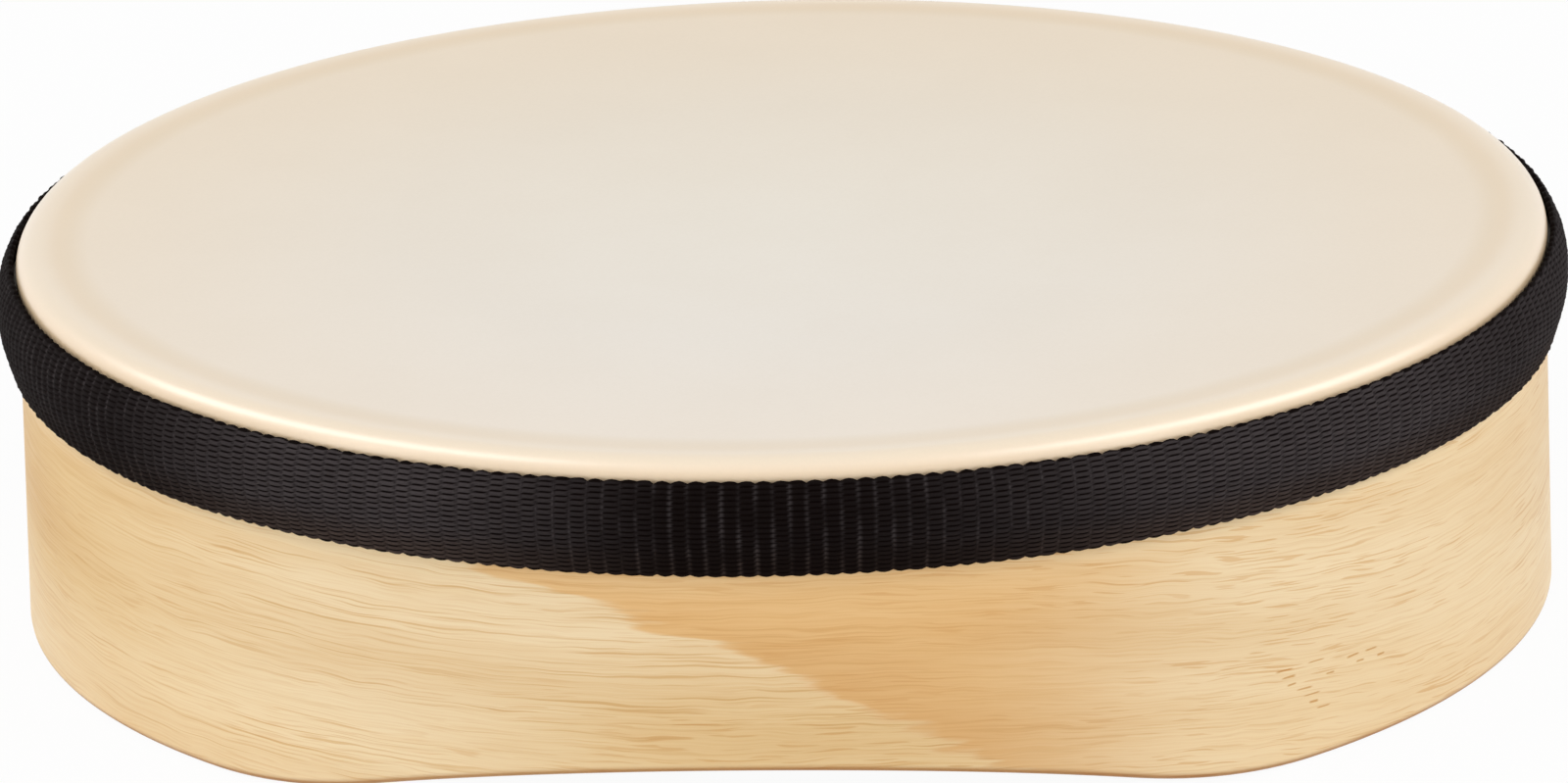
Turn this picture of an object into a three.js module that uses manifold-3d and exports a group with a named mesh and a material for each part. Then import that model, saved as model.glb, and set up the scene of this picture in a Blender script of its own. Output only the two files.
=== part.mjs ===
// Hand drum: a bent three-ply wooden shell with a hand grip cut into its lower edge, a film head
// drawn over its upper edge, a hoop that staples hold over the head's skirt, and a woven band that
// covers hoop and staples. Millimetres, +Z up. The origin is on the drum's axis, in the plane that
// the lower edge stands on, and the hand grip faces -Y. Angles run from -Y towards +X.
import * as THREE from "three";
import { mergeVertices } from "three/addons/utils/BufferGeometryUtils.js";
import Module from "manifold-3d";

// Shell
const SHELL_DIAMETER = 254;
const SHELL_DEPTH = 64.4;
const OUTER_PLY = 2.4;
const CORE_PLY = 2.4;
const INNER_PLY = 2.4;
const GLUE_LINE = 0.15;
const PLY_SEAM = 0.4;
const OUTER_SEAM_ANGLE = 200;
const CORE_SEAM_ANGLE = 110;
const INNER_SEAM_ANGLE = 245;

// Upper edge, which carries the head: round outside, a narrow land, then a slope inwards
const BEARING_ROUND = 3.5;
const BEARING_LAND = 1.2;
const BEARING_SLOPE = 30;

// Lower edge and the hand grip in it, whose length is measured along the outside of the shell
const EDGE_ROUND = 1.6;
const GRIP_LENGTH = 202;
const GRIP_DEPTH = 11.4;
const GRIP_CROWN_PART = 0.65;

// Film head
const FILM = 0.25;
const SEAT_GAP = 0.08;
const SKIRT_BELOW_HOOP = 1.6;

// Hoop over the skirt, a strip bent round with its ends left just apart
const HOOP_THICKNESS = 1.0;
const HOOP_HEIGHT = 6.4;
const HOOP_BELOW_TOP = 6.6;
const HOOP_ROUND = 0.5;
const HOOP_BUTT = 1.0;
const HOOP_BUTT_ANGLE = 155;

// Staples: flat wire, the crown along the hoop, the legs driven towards the axis
const WIRE_THICKNESS = 0.5;
const WIRE_WIDTH = 0.75;
const STAPLE_CROWN = 9;
const STAPLE_LEG = 6;
const STAPLE_POINT = 1;
const STAPLE_COUNT = 16;
const HOLE_CLEARANCE = 0.25;

// Woven band, with its ends lapped opposite the grip and stapled through
const BAND_THICKNESS = 1.3;
const BAND_TOP_BELOW_HEAD = 3.4;
const BAND_BOTTOM_BELOW_HEAD = 19.3;
const BAND_GAP = 0.12;
const BAND_BEND = 2.2;
const LAP_ANGLE = 180;
const LAP_LENGTH = 22;
const LAP_RAMP = 14;
const SEAM_STAPLE_LEG = 10;
const SEAM_STAPLE_SPACING = 9;

// Facets
const RING_STEPS = 72;
const ARC_STEPS = 4;
const BEND_STEPS = 3;
const RAMP_STEPS = 4;
const SECTION_CLEAR = 0.12;
const SECTION_PARTS = 8;
const STEP_PARTS = 6;
const MERGE_DISTANCE = 1e-4;

const radians = THREE.MathUtils.degToRad;

// Radii and heights that follow from the sizes above
const shellRadius = SHELL_DIAMETER / 2;
const coreRadius = shellRadius - OUTER_PLY - GLUE_LINE;
const innerPlyRadius = coreRadius - CORE_PLY - GLUE_LINE;
const boreRadius = innerPlyRadius - INNER_PLY;
const roundCentre = shellRadius - BEARING_ROUND;
const landRadius = roundCentre - BEARING_LAND;
const headTop = SHELL_DEPTH + SEAT_GAP + FILM;
const skirtRadius = shellRadius + SEAT_GAP + FILM;
const hoopInside = skirtRadius + SEAT_GAP;
const hoopOutside = hoopInside + HOOP_THICKNESS;
const hoopTop = headTop - HOOP_BELOW_TOP;
const hoopBottom = hoopTop - HOOP_HEIGHT;
const crownInside = hoopOutside + SEAT_GAP;
const crownEnd = Math.hypot(crownInside + WIRE_THICKNESS, STAPLE_CROWN / 2);
const bandInside = (crownEnd + BAND_GAP) / Math.cos(Math.PI / RING_STEPS);
const bandTop = headTop - BAND_TOP_BELOW_HEAD;
const bandBottom = headTop - BAND_BOTTOM_BELOW_HEAD;
const lapLift = BAND_THICKNESS + BAND_GAP;
const seamCrownInside = bandInside + lapLift + BAND_THICKNESS + SEAT_GAP;

// Point on a ring at an angle from -Y towards +X
function ringPoint(radius, angle, height) {
  return [radius * Math.sin(angle), -radius * Math.cos(angle), height];
}

// Height of the lower edge above the floor: a crown arc that runs out tangent into two shoulder arcs
function gripHeight(angle) {
  const turn = Math.abs(Math.atan2(Math.sin(angle), Math.cos(angle)));
  const along = turn * shellRadius;
  const half = GRIP_LENGTH / 2;
  const arcs = (half * half + GRIP_DEPTH * GRIP_DEPTH) / (2 * GRIP_DEPTH);
  const crown = arcs * GRIP_CROWN_PART;
  const shoulder = arcs - crown;
  if (along >= half) {
    return 0;
  }
  if (along <= half * GRIP_CROWN_PART) {
    return GRIP_DEPTH - crown + Math.sqrt(crown * crown - along * along);
  }
  const left = half - along;
  return shoulder - Math.sqrt(shoulder * shoulder - left * left);
}

// Heights across the shell's wall
function bearingHeight(radius) {
  if (radius > roundCentre) {
    const out = Math.min(radius - roundCentre, BEARING_ROUND);
    return SHELL_DEPTH - BEARING_ROUND + Math.sqrt(BEARING_ROUND * BEARING_ROUND - out * out);
  }
  return SHELL_DEPTH - Math.max(0, landRadius - radius) * Math.tan(radians(BEARING_SLOPE));
}

function edgeHeight(radius) {
  const fromFace = Math.min(shellRadius - radius, radius - boreRadius);
  const into = Math.max(0, EDGE_ROUND - fromFace);
  return EDGE_ROUND - Math.sqrt(Math.max(0, EDGE_ROUND * EDGE_ROUND - into * into));
}

// Radii between two limits at which a section needs a point, with none close to a limit
function sectionRadii(from, to, wanted) {
  const clear = Math.min(SECTION_CLEAR, (to - from) / SECTION_PARTS);
  const between = wanted.filter((r) => r > from + clear && r < to - clear);
  return [from, ...between.sort((a, b) => a - b), to];
}

function roundRadii(face, size, inward) {
  const steps = Array.from({ length: ARC_STEPS }, (_, i) => (i / ARC_STEPS) * (Math.PI / 2));
  return steps.map((a) => face + inward * size * (1 - Math.sin(a)));
}

// Closed section of one ply at an angle, as points (radius, height)
function plySection(from, to, angle) {
  const low = gripHeight(angle);
  const edges = [...roundRadii(shellRadius, EDGE_ROUND, -1), ...roundRadii(boreRadius, EDGE_ROUND, 1)];
  const tops = [...roundRadii(shellRadius, BEARING_ROUND, -1), landRadius];
  const below = sectionRadii(from, to, edges).map((r) => [r, low + edgeHeight(r)]);
  const above = sectionRadii(from, to, tops).map((r) => [r, bearingHeight(r)]);
  return [...below, ...above.reverse()];
}

// Angles of a strip bent into a ring, from one end of the strip to the other
function stripAngles(start, end, extra = []) {
  const step = (2 * Math.PI) / RING_STEPS;
  const grid = [];
  for (let i = Math.ceil(start / step); i * step < end; i++) {
    grid.push(i * step);
  }
  const near = step / STEP_PARTS;
  const kept = grid.filter((a) => [start, end, ...extra].every((b) => Math.abs(a - b) > near));
  return [start, ...kept, ...extra, end].sort((a, b) => a - b);
}

// A butt seam lies on the facet edge next to its angle, where neighbouring rings have theirs too
function seamedAngles(seam, gap, radius) {
  const half = gap / 2 / radius;
  const middle = radians(Math.round((seam * RING_STEPS) / 360) * (360 / RING_STEPS));
  return stripAngles(middle + half, middle + 2 * Math.PI - half);
}

// Solid swept along the angles through a closed section that may change from angle to angle
function sweptStrip(angles, sectionAt) {
  const sections = angles.map((angle) => sectionAt(angle));
  const count = sections[0].length;
  const positions = sections.flatMap((section, i) => section.flatMap(([r, z]) => ringPoint(r, angles[i], z)));
  const index = [];
  for (let i = 0; i + 1 < angles.length; i++) {
    for (let j = 0; j < count; j++) {
      const next = (j + 1) % count;
      const [a, b, c, d] = [i * count + j, (i + 1) * count + j, (i + 1) * count + next, i * count + next];
      index.push(a, b, c, a, c, d);
    }
  }
  const last = (angles.length - 1) * count;
  const outline = (section) => section.map(([r, z]) => new THREE.Vector2(r, z));
  THREE.ShapeUtils.triangulateShape(outline(sections[0]), []).forEach(([a, b, c]) => index.push(a, b, c));
  THREE.ShapeUtils.triangulateShape(outline(sections.at(-1)), []).forEach(([a, b, c]) =>
    index.push(last + a, last + c, last + b),
  );
  const geometry = new THREE.BufferGeometry();
  geometry.setAttribute("position", new THREE.Float32BufferAttribute(positions, 3));
  geometry.setIndex(index);
  return geometry;
}

const wasm = await Module();
wasm.setup();

function solidOf(geometry) {
  const bare = geometry.clone();
  bare.deleteAttribute("normal");
  bare.deleteAttribute("uv");
  const merged = mergeVertices(bare, MERGE_DISTANCE);
  const mesh = new wasm.Mesh({
    numProp: 3,
    vertProperties: merged.attributes.position.array,
    triVerts: new Uint32Array(merged.index.array),
  });
  return new wasm.Manifold(mesh);
}

function geometryOf(solid) {
  const mesh = solid.getMesh();
  const geometry = new THREE.BufferGeometry();
  geometry.setAttribute("position", new THREE.BufferAttribute(mesh.vertProperties, 3));
  geometry.setIndex(new THREE.BufferAttribute(mesh.triVerts, 1));
  geometry.computeVertexNormals();
  return geometry;
}

function drilled(geometry, cutters) {
  return geometryOf(cutters.reduce((left, cutter) => left.subtract(cutter), solidOf(geometry)));
}

// Film: flat across, round over the bearing edge, then straight down as a skirt
function headGeometry() {
  const skirtEnd = hoopBottom - SKIRT_BELOW_HOOP;
  const face = (offset) => {
    const size = BEARING_ROUND + offset;
    const points = [new THREE.Vector2(0, SHELL_DEPTH + offset)];
    for (let i = 0; i <= ARC_STEPS; i++) {
      const a = (i / ARC_STEPS) * (Math.PI / 2);
      const up = SHELL_DEPTH - BEARING_ROUND + size * Math.cos(a);
      points.push(new THREE.Vector2(roundCentre + size * Math.sin(a), up));
    }
    points.push(new THREE.Vector2(shellRadius + offset, skirtEnd));
    return points;
  };
  const outside = face(SEAT_GAP + FILM);
  const inside = face(SEAT_GAP);
  const profile = [...inside, ...outside.reverse()];
  return new THREE.LatheGeometry(profile, RING_STEPS).rotateX(Math.PI / 2);
}

// Hoop: a flat strip with its outer edges rounded off
function hoopGeometry() {
  const section = [[hoopInside, hoopBottom]];
  for (let i = 0; i <= BEND_STEPS; i++) {
    const a = (i / BEND_STEPS) * (Math.PI / 2);
    const radius = hoopOutside - HOOP_ROUND + HOOP_ROUND * Math.sin(a);
    section.push([radius, hoopBottom + HOOP_ROUND - HOOP_ROUND * Math.cos(a)]);
  }
  for (let i = 0; i <= BEND_STEPS; i++) {
    const a = (i / BEND_STEPS) * (Math.PI / 2);
    const radius = hoopOutside - HOOP_ROUND + HOOP_ROUND * Math.cos(a);
    section.push([radius, hoopTop - HOOP_ROUND + HOOP_ROUND * Math.sin(a)]);
  }
  section.push([hoopInside, hoopTop]);
  return sweptStrip(seamedAngles(HOOP_BUTT_ANGLE, HOOP_BUTT, hoopOutside), () => section);
}

// Inner face of the band: up the shell, drawn out over the hoop, and in again to the head's rim
function bandPath() {
  const low = new THREE.Vector2(shellRadius + BAND_GAP, bandBottom);
  const lowBend = new THREE.Vector2(bandInside, hoopBottom + HOOP_ROUND);
  const topBend = new THREE.Vector2(bandInside, hoopTop - HOOP_ROUND);
  const top = new THREE.Vector2(skirtRadius + BAND_GAP, bandTop);
  const towards = (from, to) => to.clone().sub(from).setLength(BAND_BEND).add(from);
  const points = [low];
  const bend = (before, corner, after) => {
    const curve = new THREE.QuadraticBezierCurve(towards(corner, before), corner, towards(corner, after));
    points.push(...curve.getPoints(BEND_STEPS));
  };
  bend(low, lowBend, topBend);
  bend(lowBend, topBend, top);
  points.push(top);
  return points;
}

// The outer face lies one thickness out along the path's normals
function bandSection(lift) {
  const path = bandPath();
  const outer = path.map((p, i) => {
    const along = path[Math.min(i + 1, path.length - 1)].clone().sub(path[Math.max(i - 1, 0)]).normalize();
    return [p.x + along.y * BAND_THICKNESS + lift, p.y - along.x * BAND_THICKNESS];
  });
  return [...outer, ...path.map((p) => [p.x + lift, p.y]).reverse()];
}

// Band: once round and past its own start, climbing onto it over a ramp
function bandGeometry() {
  const lap = LAP_LENGTH / bandInside;
  const ramp = LAP_RAMP / bandInside;
  const start = radians(LAP_ANGLE) - lap / 2;
  const end = start + 2 * Math.PI + lap;
  const rampStart = end - lap - ramp;
  const climb = Array.from({ length: RAMP_STEPS + 1 }, (_, i) => rampStart + (i / RAMP_STEPS) * ramp);
  const lift = (angle) => lapLift * THREE.MathUtils.smoothstep(angle, rampStart, rampStart + ramp);
  return sweptStrip(stripAngles(start, end, climb), (angle) => bandSection(lift(angle)));
}

// Staple: crown across the top, legs down, each cut to a chisel point on its inner side
function stapleGeometry(leg) {
  const half = STAPLE_CROWN / 2;
  const inside = half - WIRE_THICKNESS;
  const shape = new THREE.Shape();
  shape.moveTo(-half, WIRE_THICKNESS);
  shape.lineTo(-half, STAPLE_POINT - leg);
  shape.lineTo(-inside, -leg);
  shape.lineTo(-inside, 0);
  shape.lineTo(inside, 0);
  shape.lineTo(inside, -leg);
  shape.lineTo(half, STAPLE_POINT - leg);
  shape.lineTo(half, WIRE_THICKNESS);
  shape.closePath();
  const wire = new THREE.ExtrudeGeometry(shape, { depth: WIRE_WIDTH, bevelEnabled: false });
  return wire.translate(0, 0, -WIRE_WIDTH / 2);
}

// Clear way for a staple's two legs, in the staple's own axes
function legHoles(leg) {
  const wide = WIRE_THICKNESS + 2 * HOLE_CLEARANCE;
  const high = WIRE_WIDTH + 2 * HOLE_CLEARANCE;
  const long = leg + HOLE_CLEARANCE;
  const side = (STAPLE_CROWN - WIRE_THICKNESS) / 2;
  return [-side, side].map((x) => new THREE.BoxGeometry(wide, long, high).translate(x, -long / 2, 0));
}

const wood = new THREE.MeshStandardMaterial({ color: 0xe9cf9f, roughness: 0.5, metalness: 0 });
const coreWood = new THREE.MeshStandardMaterial({ color: 0xd9b783, roughness: 0.7, metalness: 0 });
const film = new THREE.MeshStandardMaterial({ color: 0xe8decf, roughness: 0.45, metalness: 0 });
const hoopPlastic = new THREE.MeshStandardMaterial({ color: 0xd6d3ca, roughness: 0.6, metalness: 0 });
const webbing = new THREE.MeshStandardMaterial({ color: 0x1a1a1d, roughness: 0.8, metalness: 0 });
const steel = new THREE.MeshStandardMaterial({ color: 0xb9bbbe, roughness: 0.35, metalness: 1 });

const drum = new THREE.Group();

function addMesh(name, geometry, material, parent = drum) {
  const mesh = new THREE.Mesh(geometry, material);
  mesh.name = name;
  parent.add(mesh);
  return mesh;
}

// A staple's place: turned to its angle, out to its radius, crown level or upright
const cutters = [];
function addStaple(name, leg, angle, radius, height, upright) {
  const place = new THREE.Group();
  place.rotation.z = angle;
  const staple = addMesh(name, stapleGeometry(leg), steel, place);
  staple.position.set(0, -radius, height);
  staple.rotation.set(0, upright ? Math.PI / 2 : 0, Math.PI);
  drum.add(place);
  place.updateMatrixWorld(true);
  legHoles(leg).forEach((hole) => cutters.push(solidOf(hole.applyMatrix4(staple.matrixWorld))));
}

for (let i = 0; i < STAPLE_COUNT; i++) {
  const angle = ((i + 0.5) * 2 * Math.PI) / STAPLE_COUNT;
  const height = (hoopTop + hoopBottom) / 2;
  addStaple(`head_staple_${String(i + 1).padStart(2, "0")}`, STAPLE_LEG, angle, crownInside, height, false);
}

[-0.5, 0.5].forEach((side, i) => {
  const angle = radians(LAP_ANGLE) + (side * SEAM_STAPLE_SPACING) / seamCrownInside;
  const height = (hoopTop + hoopBottom) / 2;
  addStaple(`seam_staple_${i + 1}`, SEAM_STAPLE_LEG, angle, seamCrownInside, height, true);
});

function addPly(name, outside, thickness, seam, material) {
  const inside = outside - thickness;
  const angles = seamedAngles(seam, PLY_SEAM, outside);
  const ply = sweptStrip(angles, (angle) => plySection(inside, outside, angle));
  addMesh(name, drilled(ply, cutters), material);
}

addPly("shell_outer_ply", shellRadius, OUTER_PLY, OUTER_SEAM_ANGLE, wood);
addPly("shell_core_ply", coreRadius, CORE_PLY, CORE_SEAM_ANGLE, coreWood);
addPly("shell_inner_ply", innerPlyRadius, INNER_PLY, INNER_SEAM_ANGLE, wood);
addMesh("drum_head", drilled(headGeometry(), cutters), film);
addMesh("head_hoop", drilled(hoopGeometry(), cutters), hoopPlastic);
addMesh("webbing_band", drilled(bandGeometry(), cutters), webbing);

export default drum;
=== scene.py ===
"""Looks of a hand drum: a bent ply shell with a hand grip, a film head and a ribbed woven band.

Angles run round the drum's axis from -Y, the middle of the hand grip, towards +X. Sizes that carry
the suffix _MM are in millimetres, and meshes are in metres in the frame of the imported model.
"""
import math

import bpy
import numpy as np
from mathutils import Matrix, Vector


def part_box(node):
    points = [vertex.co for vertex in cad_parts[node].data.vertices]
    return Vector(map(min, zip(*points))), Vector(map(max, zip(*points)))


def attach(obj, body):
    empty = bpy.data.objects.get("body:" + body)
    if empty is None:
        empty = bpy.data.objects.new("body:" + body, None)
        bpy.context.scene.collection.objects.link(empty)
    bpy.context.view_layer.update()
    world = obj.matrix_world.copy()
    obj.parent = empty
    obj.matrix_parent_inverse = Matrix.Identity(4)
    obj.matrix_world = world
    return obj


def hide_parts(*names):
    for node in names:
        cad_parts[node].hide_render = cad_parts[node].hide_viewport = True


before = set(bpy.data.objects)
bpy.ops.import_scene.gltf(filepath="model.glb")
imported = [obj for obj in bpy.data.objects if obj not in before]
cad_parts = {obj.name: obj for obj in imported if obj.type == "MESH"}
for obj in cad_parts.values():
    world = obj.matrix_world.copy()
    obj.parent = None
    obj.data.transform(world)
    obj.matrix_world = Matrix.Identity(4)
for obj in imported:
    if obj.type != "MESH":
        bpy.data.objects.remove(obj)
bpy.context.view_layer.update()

MM = 0.001
BODY = "root"

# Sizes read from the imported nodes, in millimetres


def node_size(node):
    """A node's largest half width, its lowest height and its highest height."""
    low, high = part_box(node)
    return high.x / MM, low.z / MM, high.z / MM


SHELL_RADIUS, _, _ = node_size("shell_outer_ply")
CORE_RADIUS, _, SHELL_TOP = node_size("shell_core_ply")
INNER_RADIUS, _, _ = node_size("shell_inner_ply")
SKIRT_RADIUS, SKIRT_END, HEAD_TOP = node_size("drum_head")
HOOP_RADIUS, HOOP_BOTTOM, HOOP_TOP = node_size("head_hoop")
BAND_RADIUS, _, _ = node_size("webbing_band")

# Sizes that the nodes' boxes don't give, the same as in the part
PLY_MM = 2.4
PLY_SEAM_MM = 0.4
OUTER_SEAM, CORE_SEAM, INNER_SEAM = 200, 110, 245
BORE_RADIUS = INNER_RADIUS - PLY_MM
BEARING_ROUND_MM = 3.5
BEARING_LAND_MM = 1.2
BEARING_SLOPE = 30
EDGE_ROUND_MM = 1.6
GRIP_LENGTH_MM = 202
GRIP_DEPTH_MM = 11.4
GRIP_CROWN_PART = 0.65
FILM_MM = 0.25
BAND_MM = 1.3
BAND_TOP = HEAD_TOP - 3.4
BAND_BOTTOM = HEAD_TOP - 19.3
BAND_GAP_MM = 0.12
BAND_BEND_MM = 2.2
HOOP_ROUND_MM = 0.5
LAP_ANGLE = 180
LAP_LENGTH_MM = 22
LAP_RAMP_MM = 14
STAPLE_CROWN_MM = 9
STAPLE_LEG_MM = 10
STAPLE_SPACING_MM = 9
WIRE_THICKNESS_MM = 0.5
WIRE_WIDTH_MM = 0.75

# Small forms that the part leaves out: eased wire, and its lift off the weave
WIRE_BEND_MM = 0.7
WIRE_EASE_MM = 0.12
STAPLE_LIFT_MM = 0.08

# How finely the meshes are divided
RING_STEPS = 288
ROUND_STEPS = 8
LEAST_STEP_MM = 0.05
HEAD_RINGS_MM = (20, 60, 100, 115)
HEAD_LAST_RING_MM = 1
BAND_BEND_STEPS = 12
BAND_INNER_ROWS = 4
BAND_EDGE_TURNS = (60, 120)
PATH_STEP_MM = 0.4
WIRE_BEND_TURNS = (0, 22.5, 45, 67.5, 90)

# Angle between two faces, in degrees, from which their edge is sharp
SHARP_PLY = 40
SHARP_FILM = 60
SHARP_WEAVE = 35
SHARP_WIRE = 50

# Weave of the band: ribs along it, warp yarns that pass over one rib and under the next
RIB_PITCH_MM = 2.79
RIB_STEPS = 4
YARN_PITCH_MM = 0.88
YARN_STEPS = 4
YARN_SPREAD = 0.54
RIB_HEIGHT_MM = 0.28
RIB_FLATNESS = 0.65
YARN_HEIGHT_MM = 0.34
YARN_UNEVEN_MM = 0.05
WEAVE_PROUD_MM = 0.1
SELVEDGE_MM = 0.36
LOOP_SHARES = (0.5, 1.5)
WEAVE_SEED = 7
MELTED_END_MM = 1.6
# Mesh attributes that place the painted sheen: 1 on the yarns and 0 between them, and 1 on the yarns where
# two ribs meet, where painted highlight lines run
CROWN = "crown"
# Least share of painted sheen on a yarn; it differs at random from yarn to yarn
CROWN_LEAST = 0.78
CROWN_STEEP = 3.7
FLANK = "flank"
FLANK_STEEP = 1.25


def srgb(red, green, blue):
    """Linear colour, with alpha, of a colour written in 0 to 255 display values."""
    def linear(value):
        share = value / 255
        return share / 12.92 if share <= 0.04045 else ((share + 0.055) / 1.055) ** 2.4
    return (linear(red), linear(green), linear(blue), 1.0)


# Node trees


class Shader:
    """A material whose nodes are added one call at a time. Inputs may be numbers or sockets."""

    def __init__(self, name):
        self.material = bpy.data.materials.new(name)
        self.material.use_nodes = True
        self.tree = self.material.node_tree
        self.surface = self.tree.nodes["Principled BSDF"]

    def add(self, kind, **settings):
        node = self.tree.nodes.new(kind)
        for name, value in settings.items():
            setattr(node, name, value)
        return node

    def put(self, socket, value):
        """Links a socket to another, or gives it a number, a point or a colour."""
        if isinstance(value, bpy.types.NodeSocket):
            self.tree.links.new(value, socket)
        else:
            socket.default_value = value

    def set(self, **values):
        """Sets the surface's sockets, with _ for a space in a socket's name."""
        for name, value in values.items():
            self.put(self.surface.inputs[name.replace("_", " ")], value)

    def math(self, operation, first, second=0.0, clamp=False):
        node = self.add("ShaderNodeMath", operation=operation, use_clamp=clamp)
        self.put(node.inputs[0], first)
        self.put(node.inputs[1], second)
        return node.outputs[0]

    def times(self, first, *others):
        """Product of two or more numbers."""
        for other in others:
            first = self.math("MULTIPLY", first, other)
        return first

    def swing(self, noise, reach):
        """Noise from 0 to 1, carried to half a reach below and above 0."""
        return self.times(self.math("SUBTRACT", noise, 0.5), reach)

    def point(self, x, y, z):
        node = self.add("ShaderNodeCombineXYZ")
        for socket, value in zip(node.inputs, (x, y, z)):
            self.put(socket, value)
        return node.outputs[0]

    def spot(self):
        """Place on the piece, in metres in the shared frame."""
        return self.add("ShaderNodeTexCoord").outputs["Object"]

    def cells(self, size_mm):
        """Noise coordinates in which one cell has the same size each way."""
        node = self.add("ShaderNodeVectorMath", operation="SCALE")
        self.put(node.inputs[0], self.spot())
        self.put(node.inputs["Scale"], 1 / (size_mm * MM))
        return node.outputs[0]

    def noise(self, point, detail=2.0, roughness=0.5):
        node = self.add("ShaderNodeTexNoise")
        self.put(node.inputs["Vector"], point)
        self.put(node.inputs["Scale"], 1.0)
        self.put(node.inputs["Detail"], detail)
        self.put(node.inputs["Roughness"], roughness)
        return node.outputs[0]

    def between(self, value, low, high, to_low=0.0, to_high=1.0):
        """Value carried smoothly from low..high to to_low..to_high, and held outside."""
        node = self.add("ShaderNodeMapRange", interpolation_type="SMOOTHSTEP")
        for socket, number in zip(node.inputs, (value, low, high, to_low, to_high)):
            self.put(socket, number)
        return node.outputs[0]

    def mix(self, share, first, second, blend="MIX"):
        """Colour blend of two colours, which have sockets 6 and 7 of the node, out at socket 2."""
        node = self.add("ShaderNodeMix", data_type="RGBA", blend_type=blend)
        self.put(node.inputs[0], share)
        self.put(node.inputs[6], first)
        self.put(node.inputs[7], second)
        return node.outputs[2]

    def ramp(self, value, stops):
        node = self.add("ShaderNodeValToRGB")
        elements = node.color_ramp.elements
        while len(elements) < len(stops):
            elements.new(0.5)
        for element, (place, colour) in zip(elements, stops):
            element.position = place
            element.color = colour
        self.put(node.inputs[0], value)
        return node.outputs[0]

    def bump(self, height, strength, depth_mm):
        node = self.add("ShaderNodeBump")
        self.put(node.inputs["Strength"], strength)
        self.put(node.inputs["Distance"], depth_mm * MM)
        self.put(node.inputs["Height"], height)
        self.put(self.surface.inputs["Normal"], node.outputs[0])

    def round_drum(self, radius_mm, seam=180):
        """Millimetres round the drum from the grip's middle, up, and out from the axis.
        The first jumps at the seam's angle."""
        turn = math.radians(seam - 180)
        turned = self.add("ShaderNodeVectorRotate", rotation_type="Z_AXIS")
        self.put(turned.inputs["Vector"], self.spot())
        self.put(turned.inputs["Angle"], -turn)
        parts = self.add("ShaderNodeSeparateXYZ")
        self.put(parts.inputs[0], turned.outputs[0])
        x, y, z = parts.outputs
        angle = self.math("ARCTAN2", x, self.times(y, -1.0))
        around = self.times(self.math("ADD", angle, turn), radius_mm)
        out = self.math("SQRT", self.math("ADD", self.times(x, x), self.times(y, y)))
        return around, self.math("DIVIDE", z, MM), self.math("DIVIDE", out, MM)


def stretched(shader, place, sizes, offset=0.0):
    """Noise coordinates in which one cell is sizes millimetres round, up and out."""
    scaled = [shader.math("DIVIDE", value, size) for value, size in zip(place, sizes)]
    scaled[2] = shader.math("ADD", scaled[2], offset)
    return shader.point(*scaled)


# Materials. Noise keeps near its middle: most of it lies in the first range, nearly all in the second

MOST = (0.3, 0.7)
NEARLY_ALL = (0.2, 0.8)

# Wood: one cell of each noise round the drum, up and out, and the part of the noise that shows
SWAY_MM, SWAY_HEIGHT_MM = (110, 34, 40), 3.0
RIPPLE_MM, RIPPLE_HEIGHT_MM = (11, 4, 6), 1.5
CLOUDS_MM, CLOUDS_SEEN = (95, 12, 20), (0.33, 0.68)
LINES_MM, LINES_SEEN = (34, 0.46, 2.5), (0.545, 0.68)
FIBRES_MM, FIBRES_SEEN = (22, 0.3, 0.7), (0.35, 0.75)
PORES_MM, PORES_SEEN = (9.0, 0.37, 0.8), (0.60, 0.665)
CROWDED_MM, CROWDED_SEEN = (30, 7, 12), (0.38, 0.62)
LINED_MM, LINED_SEEN = (60, 9, 15), (0.36, 0.6)
# How strongly lines, fibres and pores show: at least and at most
STREAK_SHARES = (0.35, 1.0)
STREAK_STRENGTH = 0.72
FIBRE_STRENGTH = 0.45
PORE_SHARES = (0.2, 0.66)
# Painted shade: faces that are turned down are darker: upward part of their normal
DOWN_SHADE_NORMAL = (-0.6, -0.1)
DOWN_SHADE_STRENGTH = 0.9
LACQUER_UNEVEN = 0.1
WOOD_SPECULAR = 0.16
FIBRE_RELIEF = 0.4
GRAIN_BUMP, GRAIN_DEPTH_MM = 0.2, 0.08
# Light and dark wood and lacquer roughness of each ply, and the seed of its grain
OUTER_PLY = (srgb(246, 223, 184), srgb(238, 210, 166), 0.36, 0.0)
INNER_PLY = (srgb(236, 211, 168), srgb(224, 193, 146), 0.52, 31.0)
CORE_PLY = (srgb(222, 190, 142), srgb(205, 168, 118), 0.5, 57.0)
# Tints that the wood is multiplied by
STREAK_TINT = srgb(231, 210, 176)
FIBRE_TINT = srgb(244, 231, 212)
PORE_TINT = srgb(232, 206, 171)
KNOT_TINT = srgb(226, 199, 164)
DOWN_SHADE_TINT = srgb(196, 160, 122)

# Face ply, in millimetres round the shell or up it. The grain drops along the right side
GRAIN_DROP_MM = 12
GRAIN_DROPS_MM = (10.0, 150.0)
# Fewer pores to the left, fewer lines to the right and at the far left
PORES_RISE_MM, PORES_RISE = (-90.0, 60.0), (0.45, 0.9)
LINES_FALL_MM, LINES_FALL = (0.0, 70.0), (1.0, 0.4)
LINES_RISE_MM, LINES_RISE = (-170.0, -80.0), (0.35, 1.0)

# Edge of the brown patch on the grip's side: height, then place round the shell
PATCH_EDGE_MM = [
    (9, 46), (11.2, 39.8), (13.9, 31.7), (17.9, 28.5), (20.7, 24.1), (22.6, 16.7), (25.5, 11.7),
    (28.8, 5.6), (33.8, -4.3), (34.6, -13.6), (39.7, -20.5), (41.3, -30.5), (43.5, -42.2), (48, -56),
]
PATCH_REACH_MM = 64
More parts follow.
